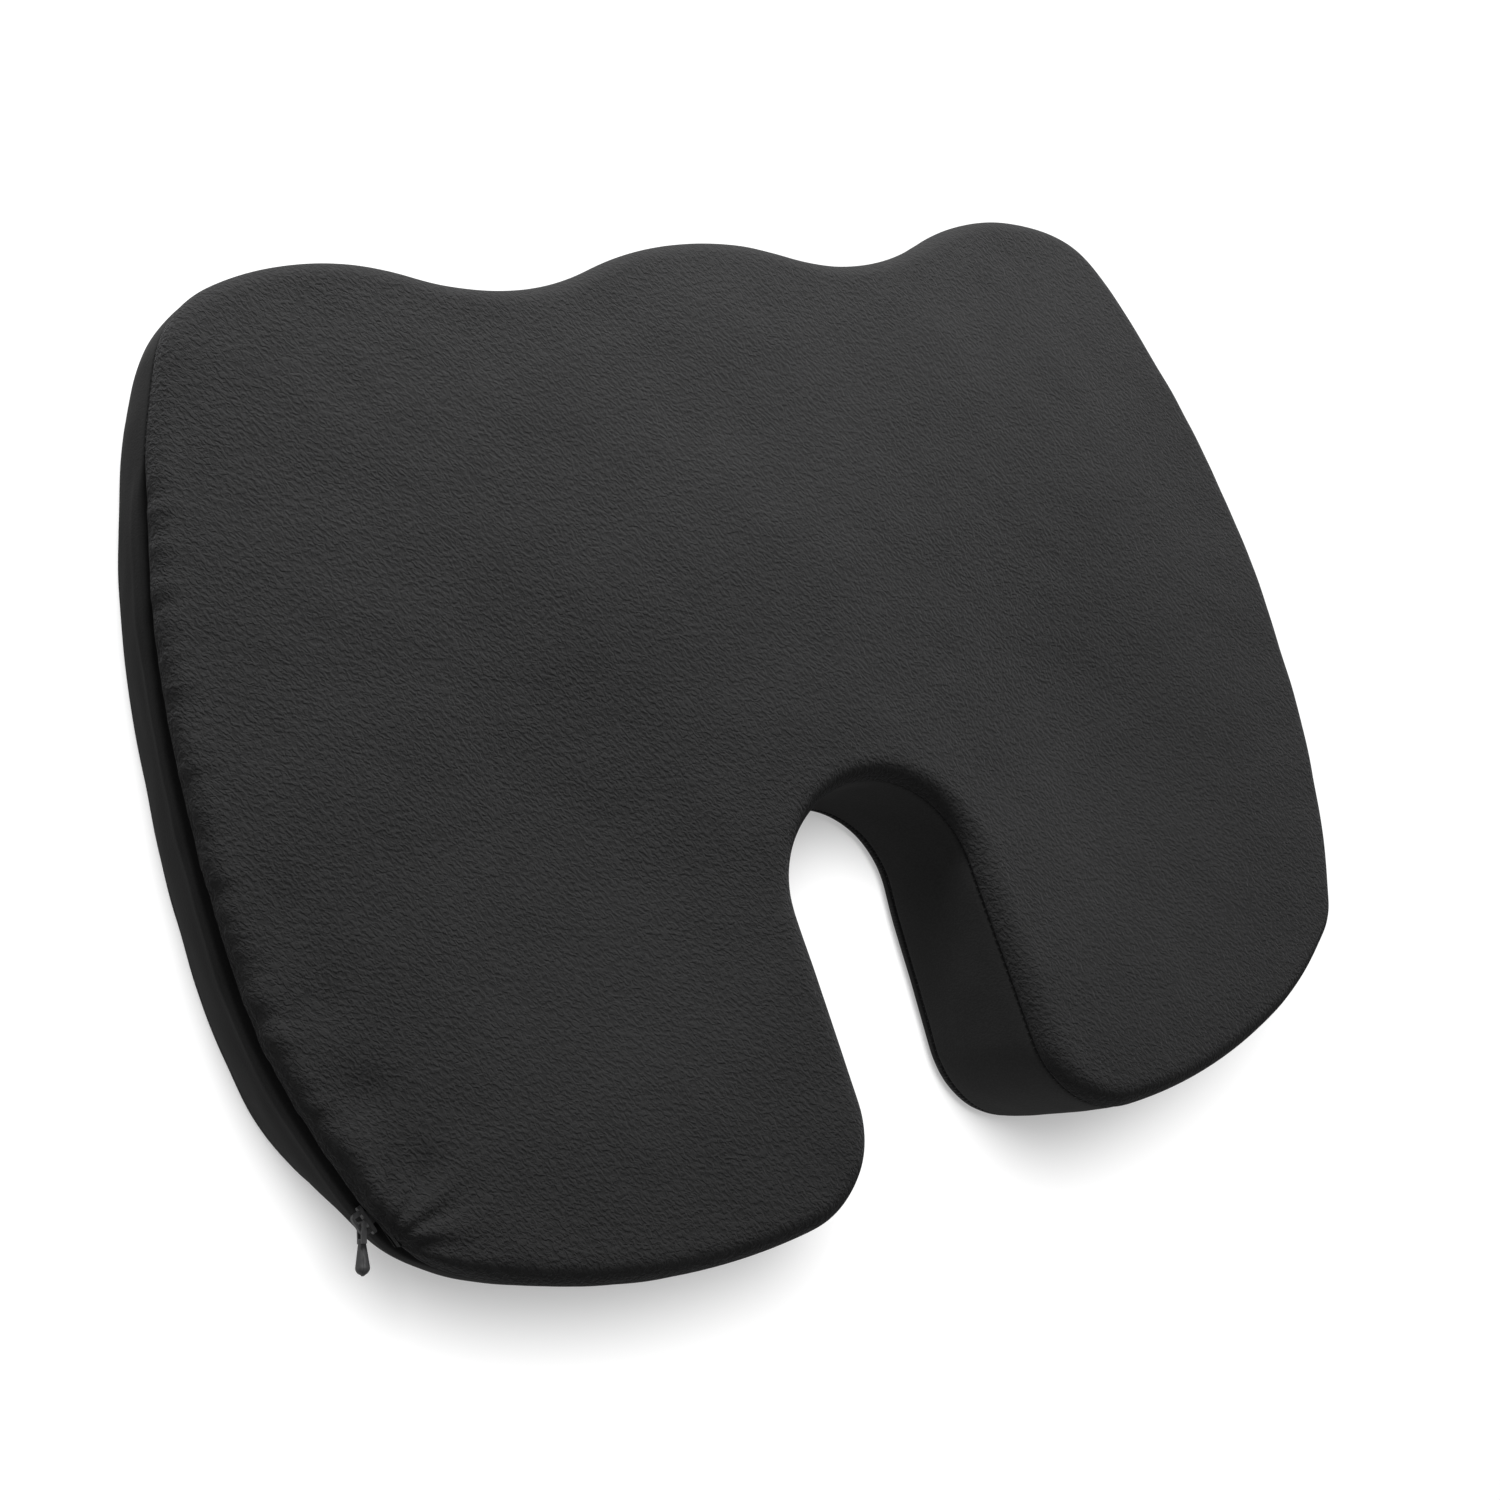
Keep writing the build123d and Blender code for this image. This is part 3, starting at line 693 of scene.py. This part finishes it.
def loop(middle, half_a, half_b, forward, around=8, sides=5):
    """Small closed ring of round wire in the plane of half_a and half_b."""
    points, faces = [], []
    for k in range(around):
        turn = 2 * math.pi * k / around
        way = half_a * math.cos(turn) + half_b * math.sin(turn)
        outward = way.normalized()
        for i in range(sides):
            spin = 2 * math.pi * i / sides
            offset = outward * math.cos(spin) + forward * math.sin(spin)
            points.append(middle + way + offset * TOOTH_R)
    for k in range(around):
        for i in range(sides):
            k2, j = (k + 1) % around, (i + 1) % sides
            faces.append((k * sides + i, k * sides + j, k2 * sides + j, k2 * sides + i))
    return points, faces


# ---------------------------------------------------------------- node helpers
class Nodes:
    """Short hand for building one material."""

    def __init__(self, name, **shader):
        self.material = bpy.data.materials.new(name)
        self.material.use_nodes = True
        self.tree = self.material.node_tree
        self.shader = self.tree.nodes["Principled BSDF"]
        for socket, value in shader.items():
            self.shader.inputs[socket.replace("_", " ")].default_value = value

    def add(self, kind, inputs=(), **settings):
        node = self.tree.nodes.new(kind)
        for key, value in settings.items():
            setattr(node, key, value)
        for key, value in dict(inputs).items():
            if isinstance(value, bpy.types.NodeSocket):
                self.tree.links.new(value, node.inputs[key])
            else:
                node.inputs[key].default_value = value
        return node

    def link(self, output, socket):
        self.tree.links.new(output, self.shader.inputs[socket])

    def math(self, operation, a, b=0.0, c=0.0):
        return self.add("ShaderNodeMath", {0: a, 1: b, 2: c}, operation=operation).outputs[0]

    def place(self, scale=(1, 1, 1), turn=(0, 0, 0)):
        """Object coordinates in millimetres, turned and then scaled."""
        source = self.add("ShaderNodeTexCoord").outputs["Object"]
        turned = self.add("ShaderNodeMapping", {"Vector": source, "Rotation": turn}).outputs[0]
        per_mm = tuple(s / MM for s in scale)
        return self.add("ShaderNodeVectorMath", {0: turned, 1: per_mm}, operation="MULTIPLY").outputs[0]

    def noise(self, vector, scale=1.0, detail=2.0, distortion=0.0, roughness=0.5):
        inputs = {"Vector": vector, "Scale": scale, "Detail": detail,
                  "Distortion": distortion, "Roughness": roughness}
        return self.add("ShaderNodeTexNoise", inputs).outputs["Fac"]

    def ramp(self, value, low, high, to_low=0.0, to_high=1.0):
        inputs = {"Value": value, "From Min": low, "From Max": high, "To Min": to_low, "To Max": to_high}
        return self.add("ShaderNodeMapRange", inputs, interpolation_type="SMOOTHSTEP").outputs[0]

    def mix(self, share, a, b):
        node = self.add("ShaderNodeMix", {0: share}, data_type="RGBA")
        for key, value in ((6, a), (7, b)):
            if isinstance(value, bpy.types.NodeSocket):
                self.tree.links.new(value, node.inputs[key])
            else:
                node.inputs[key].default_value = (*value, 1.0)
        return node.outputs[2]

    def bump(self, value, distance, strength=1.0, under=None):
        inputs = {"Height": value, "Distance": distance * MM, "Strength": strength}
        if under is not None:
            inputs["Normal"] = under
        return self.add("ShaderNodeBump", inputs).outputs[0]


def velour():
    """Short crushed pile: worm-like ridges lying diagonally, with faint patches brushed another way."""
    m = Nodes("velour", Roughness=0.95, Sheen_Weight=0.12, Sheen_Roughness=0.5, Specular_IOR_Level=0.15)
    m.shader.inputs["Sheen Tint"].default_value = (0.8, 0.8, 0.82, 1)
    grain = m.place((0.60, 0.92, 0.76), (0, 0, math.radians(56)))
    worm = m.noise(grain, 1.0, 2.0, 0.5)
    ridge = m.ramp(worm, 0.33, 0.67)
    fibre = m.noise(m.place(), 2.6, 2.0)
    patch = m.ramp(m.noise(m.place(), 0.02, 2.0, 0.3), 0.3, 0.7)
    tone = m.mix(patch, (0.0295, 0.0295, 0.0298), (0.0325, 0.0325, 0.0328))
    tone = m.mix(m.math("MULTIPLY", ridge, 0.33), tone, (0.048, 0.048, 0.0485))
    m.link(tone, "Base Color")
    body = m.bump(ridge, 0.38, 0.9)
    m.link(m.bump(fibre, 0.14, 0.6, body), "Normal")
    return m.material


def band_fabric(name, painted_light_lift=1.0):
    """Close, short-napped side fabric: smoother and a little darker than the seat's pile.
    Between the notch's walls its colour is brightened by the lift as painted light, fading out round the
    legs' corners."""
    m = Nodes(name, Roughness=0.9, Sheen_Weight=0.06, Specular_IOR_Level=0.2)
    grain = m.noise(m.place((1, 1, 0.6)), 1.5, 2.0)
    cloud = m.ramp(m.noise(m.place(), 0.05, 2.0), 0.3, 0.7)
    tone = m.mix(cloud, BAND_DARK, BAND_MIDDLE)
    tone = m.mix(m.ramp(grain, 0.35, 0.7, 0.0, 0.4), tone, BAND_LIGHT)
    # painted light: a brighter copy of the band's colour between the notch's walls, standing in for light
    # that hardly reaches there
    if painted_light_lift != 1.0:
        across = m.add("ShaderNodeSeparateXYZ", {0: m.place()}).outputs[0]
        inside = m.ramp(m.math("ABSOLUTE", across), *NOTCH_PAINTED_LIGHT_FADE, 1.0, 0.0)
        dark, light = (BAND_DARK[0] * painted_light_lift,) * 3, (BAND_MIDDLE[0] * painted_light_lift,) * 3
        painted_light_tone = m.mix(m.ramp(grain, 0.35, 0.7), dark, light)
        tone = m.mix(inside, tone, painted_light_tone)
    m.link(tone, "Base Color")
    m.link(m.bump(grain, 0.22, 0.6), "Normal")
    return m.material


def plain_fabric(name, dark, light, pitch):
    """Woven fabric: two crossing sets of yarns."""
    m = Nodes(name, Roughness=0.9, Sheen_Weight=0.15, Specular_IOR_Level=0.25)
    warp = m.add("ShaderNodeTexWave", {"Vector": m.place(), "Scale": 0.314 / pitch, "Distortion": 0.6,
                                       "Detail": 1.0}, bands_direction="X").outputs["Fac"]
    weft = m.add("ShaderNodeTexWave", {"Vector": m.place(), "Scale": 0.314 / pitch, "Distortion": 0.6,
                                       "Detail": 1.0}, bands_direction="Y").outputs["Fac"]
    weave = m.math("MULTIPLY", warp, weft)
    stain = m.noise(m.place(), 0.03, 3.0)
    tone = m.mix(m.math("MULTIPLY", weave, m.ramp(stain, 0.2, 0.8, 0.6, 1.0)), dark, light)
    m.link(tone, "Base Color")
    m.link(m.bump(weave, 0.25 * pitch), "Normal")
    return m.material


def satin(name, colour, roughness, metallic=0.0, scuff=0.08):
    """Smooth painted or moulded surface with faint handling marks."""
    m = Nodes(name, Metallic=metallic, Specular_IOR_Level=0.5)
    marks = m.noise(m.place((1, 0.35, 1)), 1.1, 4.0, 0.6)
    grain = m.noise(m.place(), 6.0, 2.0)
    m.link(m.ramp(marks, 0.3, 0.7, roughness - scuff, roughness + scuff), "Roughness")
    brighter = tuple(min(1.0, c * 1.35) for c in colour)
    m.link(m.mix(m.ramp(marks, 0.4, 0.75), colour, brighter), "Base Color")
    m.link(m.bump(grain, 0.03, 0.5), "Normal")
    return m.material


def paint(obj, material):
    obj.data.materials.clear()
    obj.data.materials.append(material)


# ---------------------------------------------------------------- stage
def floor():
    """White floor. What it throws on the object is less than what the camera sees of it."""
    size, level = 4000.0, -FLOOR_GAP
    corners = [(-size, -size, level), (size, -size, level), (size, size, level), (-size, size, level)]
    obj = new_mesh("floor", corners, [(0, 1, 2, 3)])
    m = Nodes("floor", Roughness=0.9, Specular_IOR_Level=0.0)
    m.shader.inputs["Emission Color"].default_value = (1, 1, 1, 1)
    seen = m.add("ShaderNodeLightPath").outputs["Is Camera Ray"]
    m.link(m.mix(seen, (FLOOR_BOUNCE,) * 3, (FLOOR_GREY,) * 3), "Base Color")
    m.link(m.ramp(seen, 0.0, 1.0, 0.0, FLOOR_GLOW), "Emission Strength")
    paint(obj, m.material)
    obj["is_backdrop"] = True
    return obj


def area_light(name, place, size, power, receivers):
    """Round soft box aimed at the cushion. It lights only the receivers, and everything shades them."""
    data = bpy.data.lights.new(name, "AREA")
    data.shape = "DISK"
    data.size = size
    data.energy = power
    obj = bpy.data.objects.new(name, data)
    obj.location = place
    obj.rotation_mode = "QUATERNION"
    obj.rotation_quaternion = Vector(place).to_track_quat("Z", "Y")
    bpy.context.scene.collection.objects.link(obj)
    lit = bpy.data.collections.new(name + "_receivers")
    for receiver in receivers:
        lit.objects.link(receiver)
    obj.light_linking.receiver_collection = lit


def lights(ground):
    world = bpy.data.worlds.new("studio")
    world.use_nodes = True
    world.node_tree.nodes["Background"].inputs["Color"].default_value = (1, 1, 1, 1)
    world.node_tree.nodes["Background"].inputs["Strength"].default_value = WORLD_LIGHT
    bpy.context.scene.world = world
    area_light("key", KEY_PLACE, KEY_SIZE, KEY_POWER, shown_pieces())
    area_light("floor_wash", WASH_PLACE, WASH_SIZE, WASH_POWER, [ground])


def camera():
    data = bpy.data.cameras.new("camera")
    data.lens = 43.44
    data.sensor_width = 36.0
    data.shift_x = 0.0333
    data.shift_y = -0.0037
    obj = bpy.data.objects.new("camera", data)
    right, up, back = (0.84319, -0.26487, 0.46784), (0.1907, 0.96098, 0.20036), (-0.50266, -0.07973, 0.8608)
    place = (-0.35655, -0.05818, 0.57450)
    rotation = Matrix((right, up, back)).transposed()
    obj.matrix_world = Matrix.Translation(place) @ rotation.to_4x4()
    bpy.context.scene.collection.objects.link(obj)
    bpy.context.scene.camera = obj
    bpy.context.scene.view_settings.view_transform = "Standard"


def seam_level(x, y):
    return height(x, y) - SEAM_DROP


def cover_pieces():
    """The cover's five padded pieces, cut from one mesh so that their edges meet."""
    cover = build_cover()
    refine(cover)
    band = band_fabric("band")
    finishes = {
        BASE: plain_fabric("base_fabric", (0.010, 0.010, 0.0105), (0.034, 0.034, 0.035), 1.2),
        BAND_ZIP: band,
        BAND_RIGHT: band,
        # painted light: the notch band is the band fabric made brighter between the notch's walls
        BAND_NOTCH: band_fabric("notch_band_painted_light", NOTCH_PAINTED_LIGHT),
        TOP: velour(),
    }
    for piece, obj in split(cover).items():
        paint(obj, finishes[piece])


def padding_pieces():
    """Liner and foam inside the cover."""
    liner = inner_layer("inner_liner", LINER_INSET, ["core_liner"])
    paint(liner, plain_fabric("liner", (0.30, 0.30, 0.30), (0.55, 0.55, 0.54), 0.6))
    foam = inner_layer("moulded_foam", FOAM_INSET, ["foam_core"])
    paint(foam, satin("foam", (0.50, 0.44, 0.30), 0.9))


def seam_pieces():
    """Stitches of both seams."""
    thread = plain_fabric("thread", (0.012, 0.012, 0.0125), (0.03, 0.03, 0.031), 0.4)
    top = stitches("top_seam_stitches", ["top_seam_thread"], seam_level, TOP_STITCH, True)
    base = stitches("base_seam_stitches", ["base_seam_thread"], lambda x, y: BASE_SEAM_Z, BASE_STITCH, False)
    for obj in (top, base):
        paint(obj, thread)


def grip_pieces():
    dots = grip_dots()
    paint(dots, satin("silicone", (0.018, 0.018, 0.019), 0.45))


def zip_pieces(frame):
    """Coils of real loops, and finishes for the zip's CAD nodes."""
    nylon = satin("coil", (0.010, 0.010, 0.0105), 0.4)
    for name, side in (("upper", 1), ("lower", -1)):
        teeth = coil_teeth(f"zip_coil_{name}_loops", frame, side, [f"zip_coil_{name}"])
        paint(teeth, nylon)
    tape = plain_fabric("tape", (0.004, 0.004, 0.0042), (0.014, 0.014, 0.0145), 0.5)
    metal = satin("zip_metal", (0.10, 0.10, 0.102), 0.42, 0.3)
    for name, node in frame["nodes"].items():
        if not node.hide_render:
            paint(node, tape if name.startswith("zip_tape") else metal)


def main():
    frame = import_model()
    cover_pieces()
    padding_pieces()
    seam_pieces()
    grip_pieces()
    zip_pieces(frame)
    ground = floor()
    lights(ground)
    camera()


main()
